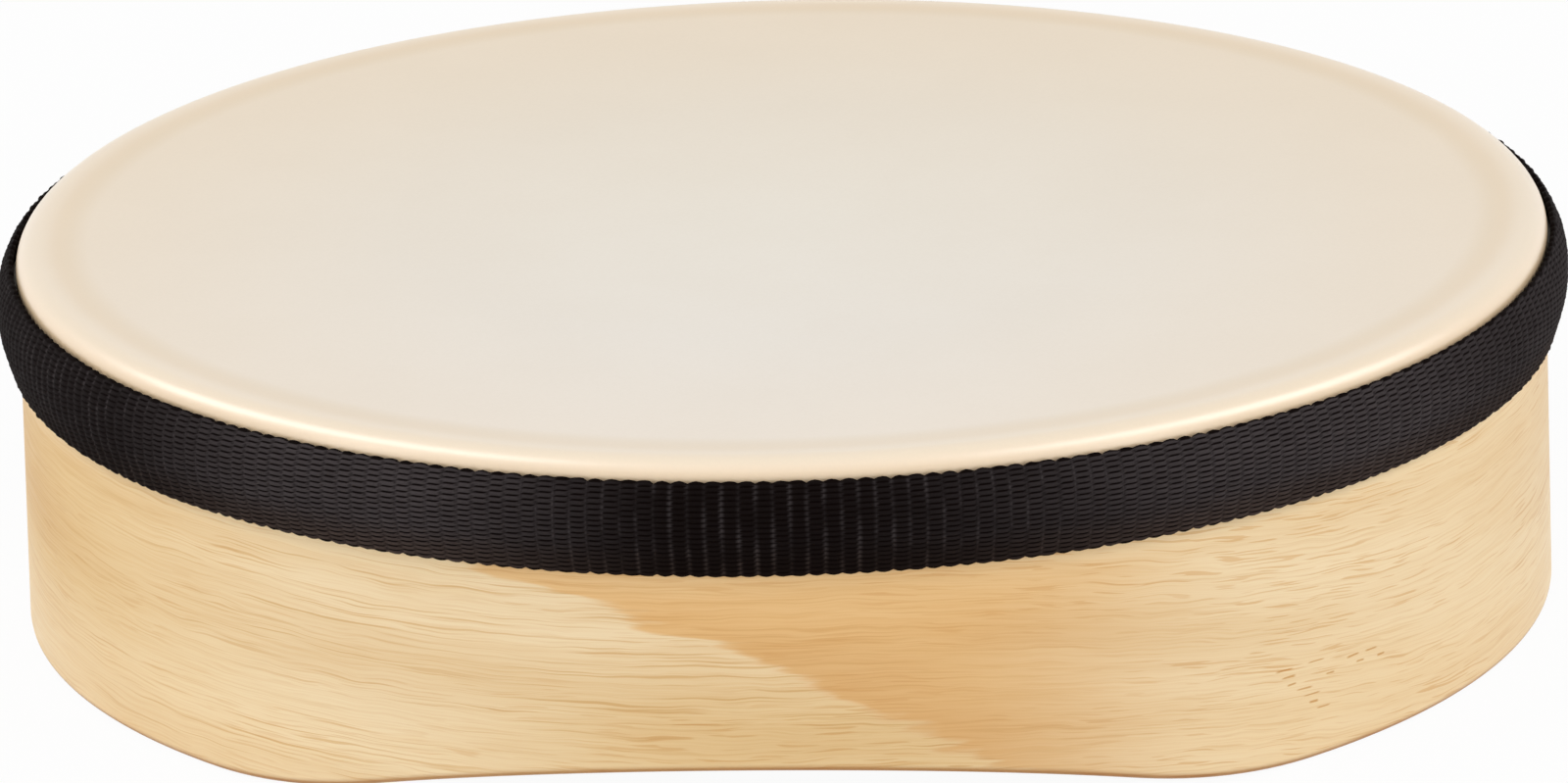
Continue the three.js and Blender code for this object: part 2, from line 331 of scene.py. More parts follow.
# Teeth of that edge: one cell of their noise, how far they reach, offset of the noise
PATCH_TEETH_MM = (((14, 2.2, 9), 16.0, 3.7), ((7, 0.8, 4), 7.0, 9.1))
PATCH_SOFT_MM = 2.8
PATCH_END_MM = (30.0, 88.0)
PATCH_RISE_MM, PATCH_TOP_SHARE = (30.0, 46.0), 0.58
PATCH_RIM_MM, PATCH_RIM_SHARE = (3.0, 30.0), 0.33
PATCH_TINT = srgb(241, 218, 186)
PATCH_RIM_TINT = srgb(243, 233, 220)
# Grain that is left in the patch
PATCH_GRAIN = 0.5
# Orange upper part of the patch
ORANGE_RISE_MM, ORANGE_SHARE = (29.0, 44.0), 0.5
ORANGE_WOOD = srgb(250, 200, 128)
# Golden wood at the left, less of it round the back, and low beside the patch
GOLDEN_LEFT_MM = (-170.0, -62.0)
GOLDEN_BACK_LEFT_MM = (-330.0, -200.0)
GOLDEN_BACK_RIGHT_MM = (110.0, 200.0)
GOLDEN_BACK_SHARE = 0.28
GOLDEN_RISE_MM, GOLDEN_LOW_SHARE = (2.0, 24.0), 0.5
GOLDEN_LOW_RISE_MM = (14.0, 38.0)
GOLDEN_LOW_MM, GOLDEN_LOW_MOST = (-60.0, -5.0), 0.75
GOLDEN_TINT = srgb(236, 220, 185)
# Painted light: paler wood at the foot and just below the band, lightening the shade there, little of it
# on the patch
PAINTED_LIGHT_FOOT_MM, PAINTED_LIGHT_FOOT_SHARE = (6.0, 24.0), 0.34
PAINTED_LIGHT_TOP_MM, PAINTED_LIGHT_TOP_SHARE = 5, 0.45
PAINTED_LIGHT_PATCH, PAINTED_LIGHT_PATCH_SHARE = (0.0, 0.8), 0.15
PAINTED_LIGHT_WOOD = srgb(255, 232, 190)

# Knot on the right of the grip: place round the shell and height of the lowest of its short pores,
# which stand one above the other in arms: start round, first level, run round for each level, levels
KNOT_MM = (102, 8)
KNOT_LEVEL_MM = 1.35
KNOT_DASH_MM = (1.45, 0.21)
KNOT_DASH_SHARES = (0.8, 1.5)
KNOT_SCATTER_MM = 1.6
KNOT_WAVER_MM = 0.7
KNOT_WAVER_PER_MM = 0.16
KNOT_ARMS = (
    (0.0, 0, -1.5, 7),
    (2.6, 4, 4.6, 2),
    (9.8, 4, 1.9, 2),
    (15.0, 4, 0.0, 1),
    (-2.0, 6, 0.0, 1),
)


def brown_patch(shader, place):
    """Place past the stepped edge of the heartwood, in millimetres to the right of it."""
    around, up, _ = place
    curve = shader.add("ShaderNodeFloatCurve")
    line = curve.mapping.curves[0]
    while len(line.points) < len(PATCH_EDGE_MM):
        line.points.new(0.5, 0.5)
    for point, (height, edge_at) in zip(line.points, PATCH_EDGE_MM):
        point.location = (height / HEAD_TOP, 0.5 + edge_at / (2 * PATCH_REACH_MM))
        point.handle_type = "VECTOR"
    curve.mapping.update()
    shader.put(curve.inputs["Value"], shader.math("DIVIDE", up, HEAD_TOP))
    edge = shader.swing(curve.outputs[0], 2 * PATCH_REACH_MM)
    past = shader.math("SUBTRACT", around, edge)
    for sizes, reach, offset in PATCH_TEETH_MM:
        teeth = shader.noise(stretched(shader, place, sizes, offset), 1.0)
        past = shader.math("ADD", past, shader.swing(teeth, reach))
    return past


def knot_pores(shader, around, up):
    """1 on the short pores of the knot."""
    aside = shader.math("SUBTRACT", around, KNOT_MM[0])
    above = shader.math("SUBTRACT", up, KNOT_MM[1])
    waver = shader.noise(shader.point(shader.times(aside, KNOT_WAVER_PER_MM), above, 0.0), 0.0)
    above = shader.math("ADD", above, shader.swing(waver, KNOT_WAVER_MM))
    raised = shader.math("DIVIDE", above, KNOT_LEVEL_MM)
    level = shader.math("FLOOR", raised)
    off = shader.math("SUBTRACT", shader.math("SUBTRACT", raised, level), 0.5)
    length, thickness = KNOT_DASH_MM
    thin = thickness / KNOT_LEVEL_MM
    in_line = shader.between(shader.math("ABSOLUTE", off), thin / 2, thin, 1.0, 0.0)
    chance = shader.add("ShaderNodeTexWhiteNoise", noise_dimensions="1D")
    shader.put(chance.inputs["W"], level)
    uneven = chance.outputs["Value"]
    shortest, longest = (length * share for share in KNOT_DASH_SHARES)
    reach = shader.between(uneven, 0.0, 1.0, shortest, longest)
    scatter = shader.times(uneven, KNOT_SCATTER_MM)
    total = 0.0
    for begin, first, run, levels in KNOT_ARMS:
        past = shader.math("SUBTRACT", level, first)
        middle = shader.math("ADD", shader.times(past, run), begin)
        middle = shader.math("ADD", middle, scatter)
        beside = shader.math("ABSOLUTE", shader.math("SUBTRACT", aside, middle))
        dash = shader.between(shader.math("DIVIDE", beside, reach), 0.5, 1.0, 1.0, 0.0)
        halfway = shader.math("SUBTRACT", past, (levels - 1) / 2)
        inside = shader.math("LESS_THAN", shader.math("ABSOLUTE", halfway), levels / 2)
        total = shader.math("MAXIMUM", total, shader.times(dash, inside))
    return shader.times(total, in_line)


def face_colours(shader, place, colour):
    """The face ply's colours, and how much of the grain shows: less of it in the brown patch."""
    around, up, _ = place
    past = brown_patch(shader, place)
    begun = shader.between(past, -PATCH_SOFT_MM, PATCH_SOFT_MM)
    brown = shader.times(begun, shader.between(around, *PATCH_END_MM, 1.0, 0.0),
                         shader.between(up, *PATCH_RISE_MM, 1.0, PATCH_TOP_SHARE))
    rim = shader.times(begun, shader.between(past, *PATCH_RIM_MM, PATCH_RIM_SHARE, 0.0))
    colour = shader.mix(brown, colour, PATCH_TINT, "MULTIPLY")
    colour = shader.mix(rim, colour, PATCH_RIM_TINT, "MULTIPLY")

    golden = shader.times(shader.between(around, *GOLDEN_LEFT_MM, 1.0, 0.0),
                          shader.between(around, *GOLDEN_BACK_LEFT_MM, GOLDEN_BACK_SHARE, 1.0))
    back = shader.between(around, *GOLDEN_BACK_RIGHT_MM, 0.0, GOLDEN_BACK_SHARE)
    golden = shader.times(shader.math("MAXIMUM", golden, back),
                          shader.between(up, *GOLDEN_RISE_MM, GOLDEN_LOW_SHARE, 1.0))
    low = shader.times(shader.between(up, *GOLDEN_LOW_RISE_MM, 1.0, 0.0),
                       shader.between(around, *GOLDEN_LOW_MM))
    low = shader.times(shader.math("SUBTRACT", low, begun, clamp=True), GOLDEN_LOW_MOST)
    golden = shader.math("MAXIMUM", golden, low)
    colour = shader.mix(golden, colour, GOLDEN_TINT, "MULTIPLY")

    # Painted light at the foot and below the band, where there is shade
    painted_light = shader.math("MAXIMUM", shader.between(up, *PAINTED_LIGHT_FOOT_MM, PAINTED_LIGHT_FOOT_SHARE, 0.0),
                       shader.between(up, BAND_BOTTOM - PAINTED_LIGHT_TOP_MM, BAND_BOTTOM, 0.0, PAINTED_LIGHT_TOP_SHARE))
    painted_light = shader.times(painted_light, shader.between(brown, *PAINTED_LIGHT_PATCH, 1.0, PAINTED_LIGHT_PATCH_SHARE))
    colour = shader.mix(painted_light, colour, PAINTED_LIGHT_WOOD)
    orange = shader.times(brown, shader.between(up, *ORANGE_RISE_MM, 0.0, ORANGE_SHARE))
    colour = shader.mix(orange, colour, ORANGE_WOOD)
    return colour, shader.between(brown, 0.0, 1.0, 1.0, PATCH_GRAIN)


def wood(name, radius_mm, seam, ply, face=False):
    """Rubberwood whose grain runs round the drum: thin growth lines, pore dashes and a satin lacquer.
    The face ply has its brown patch and its knot."""
    light, dark, lacquer, seed = ply
    shader = Shader(name)
    place = around, up, out = shader.round_drum(radius_mm, seam)
    sway = shader.noise(stretched(shader, place, SWAY_MM, seed), 1.0)
    ripple = shader.noise(stretched(shader, place, RIPPLE_MM, seed + 7), 1.0)
    run = shader.math("ADD", up, shader.swing(sway, SWAY_HEIGHT_MM))
    if face:
        run = shader.math("ADD", run, shader.between(around, *GRAIN_DROPS_MM, 0.0, GRAIN_DROP_MM))
    run = shader.math("ADD", run, shader.swing(ripple, RIPPLE_HEIGHT_MM))

    grain = (around, run, out)
    clouds = shader.noise(stretched(shader, grain, CLOUDS_MM, seed + 1), 2.0)
    lines = shader.noise(stretched(shader, grain, LINES_MM, seed + 2), 1.5, 0.6)
    fibres = shader.noise(stretched(shader, grain, FIBRES_MM, seed + 3), 2.0)
    pores = shader.noise(stretched(shader, grain, PORES_MM, seed + 4), 0.5)
    crowded = shader.noise(stretched(shader, grain, CROWDED_MM, seed + 5), 1.0)
    lined = shader.noise(stretched(shader, grain, LINED_MM, seed + 6), 1.0)

    colour = shader.mix(shader.between(clouds, *CLOUDS_SEEN), light, dark)
    streak = shader.times(shader.between(lines, *LINES_SEEN),
                          shader.between(lined, *LINED_SEEN, *STREAK_SHARES))
    gathered = shader.between(crowded, *CROWDED_SEEN, *PORE_SHARES)
    if face:
        colour, shown = face_colours(shader, place, colour)
        streak = shader.times(streak, shader.between(around, *LINES_FALL_MM, *LINES_FALL),
                              shader.between(around, *LINES_RISE_MM, *LINES_RISE), shown)
        gathered = shader.times(gathered, shader.between(around, *PORES_RISE_MM, *PORES_RISE), shown)
    pore = shader.times(shader.between(pores, *PORES_SEEN), gathered)
    fibre = shader.between(fibres, *FIBRES_SEEN, 0.0, FIBRE_STRENGTH)
    colour = shader.mix(shader.times(streak, STREAK_STRENGTH), colour, STREAK_TINT, "MULTIPLY")
    colour = shader.mix(fibre, colour, FIBRE_TINT, "MULTIPLY")
    colour = shader.mix(pore, colour, PORE_TINT, "MULTIPLY")
    if face:
        colour = shader.mix(knot_pores(shader, around, up), colour, KNOT_TINT, "MULTIPLY")

    # Painted shade on faces that are turned down
    normal = shader.add("ShaderNodeSeparateXYZ")
    shader.put(normal.inputs[0], shader.add("ShaderNodeNewGeometry").outputs["Normal"])
    down_shade = shader.between(normal.outputs[2], *DOWN_SHADE_NORMAL, DOWN_SHADE_STRENGTH, 0.0)
    colour = shader.mix(down_shade, colour, DOWN_SHADE_TINT, "MULTIPLY")
    rough = shader.between(fibres, *NEARLY_ALL, lacquer, lacquer + LACQUER_UNEVEN)
    shader.set(Base_Color=colour, Roughness=rough, Specular_IOR_Level=WOOD_SPECULAR)
    relief = shader.math("SUBTRACT", shader.times(fibres, FIBRE_RELIEF), pore)
    shader.bump(relief, GRAIN_BUMP, GRAIN_DEPTH_MM)
    return shader.material


# Film: its colour by its share of the skirt's radius, from the middle outwards
FILM_COLOURS = [
    (0.00, srgb(242, 237, 228)),
    (0.50, srgb(241, 234, 224)),
    (0.905, srgb(244, 233, 219)),
    (0.928, srgb(240, 226, 207)),
    (0.95, srgb(239, 222, 199)),
    (0.97, srgb(241, 223, 197)),
    (0.986, srgb(244, 226, 200)),
    (0.995, srgb(247, 225, 197)),
    (1.00, srgb(243, 215, 177)),
]
# Painted shade: it is warmer and a little darker away from a place on the grip's side: that place and the
# reach, as shares of the radius
FILM_UNSHADED_PLACE, FILM_SHADE_REACH = 0.8, 1.8
FILM_SHADE_TINT = srgb(255, 249, 238)
FILM_CLOUD_MM, FILM_CLOUD_COLOUR = 28, srgb(221, 206, 184)
FILM_GRAIN_MM, FILM_GRAIN_COLOUR = 0.5, srgb(214, 200, 180)
FILM_GRAIN_SEEN = (0.35, 0.7)
FILM_UNEVEN_SHARE = 0.05
# Gloss of the rim, how much more matt the flat is, and where they meet, out from the start of the bend
FILM_RIM_ROUGH = (0.285, 0.33)
FILM_FLAT_ROUGHER = 0.29
FILM_FLAT_MM = (-6, 0)
FILM_COAT_MM, FILM_COAT, FILM_COAT_ROUGH = (-4, 1), 0.95, 0.36
FILM_SPECULAR = 0.9


def film():
    """Milky drum film: grey cream in the middle, warmer towards the wood that shows through its rim.
    It is matt across, where a lamp would show as white from behind, and glossy round its rim."""
    shader = Shader("milky_film")
    _, _, out = shader.round_drum(SHELL_RADIUS)
    clouds = shader.noise(shader.cells(FILM_CLOUD_MM), 3.0)
    grain = shader.noise(shader.cells(FILM_GRAIN_MM), 2.0)
    away = shader.add("ShaderNodeVectorMath", operation="DISTANCE")
    shader.put(away.inputs[0], shader.spot())
    shader.put(away.inputs[1], (0, -FILM_UNSHADED_PLACE * SHELL_RADIUS * MM, HEAD_TOP * MM))
    far_shade = shader.between(away.outputs["Value"], 0.0, FILM_SHADE_REACH * SHELL_RADIUS * MM)
    clouded = shader.between(clouds, *MOST, 0.0, FILM_UNEVEN_SHARE)
    grained = shader.between(grain, *FILM_GRAIN_SEEN, 0.0, FILM_UNEVEN_SHARE)
    colour = shader.ramp(shader.math("DIVIDE", out, SKIRT_RADIUS), FILM_COLOURS)
    # Painted shade, warmer and darker away from the grip's side
    colour = shader.mix(far_shade, colour, FILM_SHADE_TINT, "MULTIPLY")
    colour = shader.mix(clouded, colour, FILM_CLOUD_COLOUR)
    colour = shader.mix(grained, colour, FILM_GRAIN_COLOUR)

    bend = SHELL_RADIUS - BEARING_ROUND_MM
    matt = shader.between(out, bend + FILM_FLAT_MM[0], bend + FILM_FLAT_MM[1], FILM_FLAT_ROUGHER, 0.0)
    rough = shader.math("ADD", shader.between(clouds, *MOST, *FILM_RIM_ROUGH), matt)
    coat = shader.between(out, bend + FILM_COAT_MM[0], bend + FILM_COAT_MM[1], 0.0, FILM_COAT)
    shader.set(Base_Color=colour, Roughness=rough, Specular_IOR_Level=FILM_SPECULAR)
    shader.set(Coat_Weight=coat, Coat_Roughness=FILM_COAT_ROUGH)
    return shader.material


# Webbing: one cell of each noise round the band, up and out
YARN_FIBRES_MM = (0.9, 0.07, 0.3)
BAND_FADE_MM, BAND_FADE_SEED = (42, 9, 20), 2.3
RIB_UNEVEN_MM, RIB_UNEVEN_SEED = (2.9, 6, 20), 5.1
RIB_UNEVEN_SEEN = (0.36, 0.64)
# Where painted sheen lies on the band, in millimetres round it: from and to, and the share there
SHEEN_LEFT = (((-62.0, -2.0), (1.0, 0.0)), ((-130.0, -72.0), (0.15, 1.0)))
SHEEN_RIGHT = (((10.0, 100.0), (0.06, 1.0)), ((112.0, 165.0), (1.0, 0.55)), ((165.0, 320.0), (1.0, 0.27)))
FLANK_SHEEN_SHARE = 0.45
FLANK_HIGHLIGHT_SHARES = (0.25, 0.8)
FADE_SHARES = (0.85, 1.0)
FIBRE_SHARES = (0.75, 1.0)
CROWN_SHEEN_SHARES = (0.18, 0.95)
# The painted sheen is browner towards the band's lower edge
BROWNED_MM = (1, 7)
YARN_BLACK = srgb(12, 6, 5)
YARN_SHEEN_GREY = srgb(75, 69, 70)
YARN_SHEEN_BROWN = srgb(74, 63, 59)
YARN_ROUGH = (0.6, 0.75)
YARN_SPECULAR = 0.02
YARN_BUMP, YARN_DEPTH_MM = 0.35, 0.05


def webbing():
    """Black nylon yarn: deep black between the yarns, and greyer with painted sheen: on the ribs'
    flanks everywhere, and all over to both sides of the grip's middle."""
    shader = Shader("black_webbing")
    place = around, up, _ = shader.round_drum(BAND_RADIUS)
    fibres = shader.noise(stretched(shader, place, YARN_FIBRES_MM), 2.0)
    fade = shader.noise(stretched(shader, place, BAND_FADE_MM, BAND_FADE_SEED), 2.0)
    uneven = shader.noise(stretched(shader, place, RIB_UNEVEN_MM, RIB_UNEVEN_SEED), 1.0)
    sheen_sides = []
    for spans in (SHEEN_LEFT, SHEEN_RIGHT):
        sheen_sides.append(shader.times(*[shader.between(around, *span, *shares) for span, shares in spans]))
    crown = shader.add("ShaderNodeAttribute", attribute_name=CROWN).outputs["Fac"]
    flank = shader.add("ShaderNodeAttribute", attribute_name=FLANK).outputs["Fac"]
    # Painted sheen to both sides of the grip, and painted highlight lines on the ribs' flanks
    tops = shader.times(shader.math("MAXIMUM", *sheen_sides),
                        shader.between(flank, 0.0, 1.0, 1.0, FLANK_SHEEN_SHARE))
    lines = shader.times(flank, shader.between(uneven, *RIB_UNEVEN_SEEN, *FLANK_HIGHLIGHT_SHARES))
    painted_sheen = shader.times(shader.math("MAXIMUM", tops, lines),
                        shader.between(fade, *MOST, *FADE_SHARES),
                        shader.between(fibres, *MOST, *FIBRE_SHARES),
                        shader.between(crown, *CROWN_SHEEN_SHARES))
    browned = shader.between(up, BAND_BOTTOM + BROWNED_MM[0], BAND_BOTTOM + BROWNED_MM[1], 1.0, 0.0)
    colour = shader.mix(painted_sheen, YARN_BLACK, shader.mix(browned, YARN_SHEEN_GREY, YARN_SHEEN_BROWN))
    rough = shader.between(fibres, *NEARLY_ALL, *YARN_ROUGH)
    shader.set(Base_Color=colour, Roughness=rough, Specular_IOR_Level=YARN_SPECULAR)
    shader.bump(fibres, YARN_BUMP, YARN_DEPTH_MM)
    return shader.material


# Staple wire and hoop strip: noise cell, the two colours, range of roughness, bump and its depth
SCRATCH_MM = 0.25
STEEL_COLOURS = (srgb(176, 178, 182), srgb(208, 209, 212))
STEEL_ROUGH = (0.24, 0.42)
STEEL_BUMP, STEEL_DEPTH_MM = 0.1, 0.02
STRIP_LINES_MM = (20, 0.3, 0.6)
STRIP_COLOURS = (srgb(206, 203, 194), srgb(224, 221, 212))
STRIP_ROUGH = (0.45, 0.6)
STRIP_BUMP, STRIP_DEPTH_MM = 0.1, 0.03


def steel():
    """Bright flat staple wire with drawing lines."""
    shader = Shader("staple_steel")
    scratches = shader.noise(shader.cells(SCRATCH_MM), 3.0)
    shader.set(Base_Color=shader.mix(scratches, *STEEL_COLOURS), Metallic=1.0)
    shader.set(Roughness=shader.between(scratches, *MOST, *STEEL_ROUGH))
    shader.bump(scratches, STEEL_BUMP, STEEL_DEPTH_MM)
    return shader.material


def strip_plastic():
    """Off-white moulded strip with a faint drawn grain."""
    shader = Shader("strip_plastic")
    place = shader.round_drum(HOOP_RADIUS)
    lines = shader.noise(stretched(shader, place, STRIP_LINES_MM), 2.0)
    shader.set(Base_Color=shader.mix(lines, *STRIP_COLOURS))
    shader.set(Roughness=shader.between(lines, *MOST, *STRIP_ROUGH))
    shader.bump(lines, STRIP_BUMP, STRIP_DEPTH_MM)
    return shader.material


# Meshes


def ring_points(radii, angles, heights):
    """Points in metres from radii and heights in millimetres and angles in radians."""
    return np.stack([radii * np.sin(angles), -radii * np.cos(angles), heights + 0 * radii], axis=-1) * MM


def add_piece(name, points, faces, material, nodes, sharp):
    """A shaded piece that rides on the drum and stands for CAD nodes."""
    mesh = bpy.data.meshes.new(name)
    mesh.from_pydata(points.reshape(-1, 3).tolist(), [], faces)
    mesh.materials.append(material)
    mesh.validate()
    mesh.shade_smooth()
    mesh.set_sharp_from_angle(angle=math.radians(sharp))
    piece = bpy.data.objects.new(name, mesh)
    bpy.context.scene.collection.objects.link(piece)
    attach(piece, BODY)
    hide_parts(*nodes)
    return piece


def strip_faces(stations, count):
    """Quads along a strip of closed sections, with a face on each end."""
    quads = []
    for i in range(stations - 1):
        here, ahead = i * count, (i + 1) * count
        for j in range(count):
            other = (j + 1) % count
            quads.append((here + j, ahead + j, ahead + other, here + other))
    last = (stations - 1) * count
    quads.append(tuple(range(count)))
    quads.append(tuple(last + j for j in reversed(range(count))))
    return quads


def grip_height(angles):
    """Height of the lower edge: a crown arc that runs out tangent into two shoulder arcs."""
    turn = np.abs(np.arctan2(np.sin(angles), np.cos(angles)))
    half = GRIP_LENGTH_MM / 2
    along = np.minimum(turn * SHELL_RADIUS, half)
    arcs = (half**2 + GRIP_DEPTH_MM**2) / (2 * GRIP_DEPTH_MM)
    crown = arcs * GRIP_CROWN_PART
    shoulder = arcs - crown
    on_crown = GRIP_DEPTH_MM - crown + np.sqrt(crown**2 - along**2)
    on_shoulder = shoulder - np.sqrt(np.maximum(shoulder**2 - (half - along)**2, 0))
    return np.where(along <= half * GRIP_CROWN_PART, on_crown, on_shoulder)


def bearing_height(radius):
    """Height of the upper edge: rounded outside, a narrow land and a slope inwards."""
    centre = SHELL_RADIUS - BEARING_ROUND_MM
    land = centre - BEARING_LAND_MM
    if radius > centre:
        rise = math.sqrt(max(BEARING_ROUND_MM**2 - (radius - centre)**2, 0))
        return SHELL_TOP - BEARING_ROUND_MM + rise
    return SHELL_TOP - max(0, land - radius) * math.tan(math.radians(BEARING_SLOPE))


def edge_height(radius):
    """Rise of the eased lower edge over its lowest line."""
    into = max(0, EDGE_ROUND_MM - min(SHELL_RADIUS - radius, radius - BORE_RADIUS))
    return EDGE_ROUND_MM - math.sqrt(max(0, EDGE_ROUND_MM**2 - into**2))


def radii_between(low, high, wanted):
    """Both limits and the wanted radii that lie well between them."""
    inside = [r for r in wanted if low + LEAST_STEP_MM < r < high - LEAST_STEP_MM]
    return [low, *sorted(inside), high]


def add_ply(name, node, outside, seam, material):
    """One bent ply, from one side of its seam round to the other."""
    inside = outside - PLY_MM
    turns = [math.sin(i / ROUND_STEPS * math.pi / 2) for i in range(ROUND_STEPS)]
    edges = [SHELL_RADIUS - EDGE_ROUND_MM * (1 - t) for t in turns]
    edges += [BORE_RADIUS + EDGE_ROUND_MM * (1 - t) for t in turns]
    tops = [SHELL_RADIUS - BEARING_ROUND_MM * (1 - t) for t in turns]
    tops.append(SHELL_RADIUS - BEARING_ROUND_MM - BEARING_LAND_MM)
    below = radii_between(inside, outside, edges)
    above = radii_between(inside, outside, tops)[::-1]
    half = PLY_SEAM_MM / 2 / outside
    middle = math.radians(seam)
    angles = np.linspace(middle + half, middle + 2 * math.pi - half, RING_STEPS + 1)
    low = grip_height(angles)
    radii = np.array(below + above)
    heights = np.array([edge_height(r) for r in below] + [bearing_height(r) for r in above])
    follows = np.array([1.0] * len(below) + [0.0] * len(above))
    points = ring_points(radii[None, :] + 0 * angles[:, None], angles[:, None],
                         heights[None, :] + low[:, None] * follows[None, :])
    faces = strip_faces(len(angles), len(radii))
    add_piece(name, points, faces, material, [node], SHARP_PLY)


def add_head(material):
    """Film: flat across, round over the bearing edge and straight down behind the band."""
    seat = HEAD_TOP - SHELL_TOP - FILM_MM
    centre = SHELL_RADIUS - BEARING_ROUND_MM
    flats = [*HEAD_RINGS_MM, centre - HEAD_LAST_RING_MM]
    turns = [i / ROUND_STEPS * math.pi / 2 for i in range(ROUND_STEPS + 1)]

    def face(offset):
        size = BEARING_ROUND_MM + offset
        bend = SHELL_TOP - BEARING_ROUND_MM
        points = [(r, SHELL_TOP + offset) for r in flats]
        points += [(centre + size * math.sin(a), bend + size * math.cos(a)) for a in turns]
        return points + [(SHELL_RADIUS + offset, SKIRT_END)]

    profile = np.array(face(seat + FILM_MM) + face(seat)[::-1])
    angles = np.arange(RING_STEPS) * 2 * math.pi / RING_STEPS
    rings = ring_points(profile[:, :1] + 0 * angles[None, :], angles[None, :], profile[:, 1:])
    middles = [[0, 0, HEAD_TOP * MM], [0, 0, (HEAD_TOP - FILM_MM) * MM]]
    points = np.vstack([rings.reshape(-1, 3), middles])
    count = len(profile)
    top, under = count * RING_STEPS, count * RING_STEPS + 1
    faces = []
    for i in range(RING_STEPS):
        ahead = (i + 1) % RING_STEPS
        faces.append((top, i, ahead))
        faces.append((under, (count - 1) * RING_STEPS + ahead, (count - 1) * RING_STEPS + i))
        for j in range(count - 1):
            here, below = j * RING_STEPS, (j + 1) * RING_STEPS
            faces.append((here + i, below + i, below + ahead, here + ahead))
    add_piece("film_head", points, faces, material, ["drum_head"], SHARP_FILM)


def band_centre():
    """Middle of the band's thickness from its lower to its upper edge, as dense points."""
    face = BAND_RADIUS - BAND_MM
    low = Vector((SHELL_RADIUS + BAND_GAP_MM, BAND_BOTTOM))
    low_bend = Vector((face, HOOP_BOTTOM + HOOP_ROUND_MM))
    top_bend = Vector((face, HOOP_TOP - HOOP_ROUND_MM))
    top = Vector((SKIRT_RADIUS + BAND_GAP_MM, BAND_TOP))

    def bend(before, corner, after):
        start = corner + (before - corner).normalized() * BAND_BEND_MM
        end = corner + (after - corner).normalized() * BAND_BEND_MM
        shares = np.linspace(0, 1, BAND_BEND_STEPS)
        return [start * (1 - t)**2 + corner * (2 * t * (1 - t)) + end * t**2 for t in shares]

    path = [low, *bend(low, low_bend, top_bend), *bend(low_bend, top_bend, top), top]
    path = np.array([tuple(p) for p in path])
    tangent = np.gradient(path, axis=0)
    tangent /= np.linalg.norm(tangent, axis=1)[:, None]
    return path + BAND_MM / 2 * np.stack([tangent[:, 1], -tangent[:, 0]], axis=1)


def along_path(path, distances):
    """Points and outward normals at distances along a path of (radius, height), and its length."""
    steps = np.concatenate([[0], np.cumsum(np.linalg.norm(np.diff(path, axis=0), axis=1))])

    def at(places):
        return np.stack([np.interp(places, steps, path[:, i]) for i in range(2)], axis=1)

    tangent = at(distances + PATH_STEP_MM) - at(distances - PATH_STEP_MM)
    tangent /= np.linalg.norm(tangent, axis=1)[:, None]
    return at(distances), np.stack([tangent[:, 1], -tangent[:, 0]], axis=1), steps[-1]


def weave(along, rows, chance):
    """Height of the yarns over the band's ground, and the crown and flank marks that place the painted
    sheen, for distances along the band and for rows across it."""
    wave = np.sin(math.pi * along / RIB_PITCH_MM)
    wave = (np.sign(wave) * np.abs(wave)**RIB_FLATNESS)[:, None]
    ribs = (along / RIB_PITCH_MM).astype(int)

    def yarns(shift):
        place = rows / YARN_STEPS + shift
        count = place.astype(int)
        off = np.abs(place - count - 0.5)
        shape = (ribs.max() + 1, count.max() + 1)
        uneven = chance.uniform(-1, 1, shape) * YARN_UNEVEN_MM
        # Share of painted sheen on each yarn, uneven at random
        sheen_share = chance.uniform(CROWN_LEAST, 1, shape)
        round_top = np.sqrt(np.maximum(1 - (off / YARN_SPREAD)**2, 0))
        crown = np.clip(CROWN_STEEP * (0.5 - off), 0, 1)
        height = YARN_HEIGHT_MM * round_top[None, :] + uneven[ribs][:, count]
        return height, crown[None, :] * sheen_share[ribs][:, count]

    first, first_crown = yarns(0)
    second, second_crown = yarns(0.5)
    first = first + RIB_HEIGHT_MM * wave
    second = second - RIB_HEIGHT_MM * wave
    height = np.maximum(first, second) - RIB_HEIGHT_MM - YARN_HEIGHT_MM + WEAVE_PROUD_MM
    crown = np.where(first > second, first_crown, second_crown)
    return height, crown, np.maximum(1 - FLANK_STEEP * np.abs(wave), 0) * first_crown


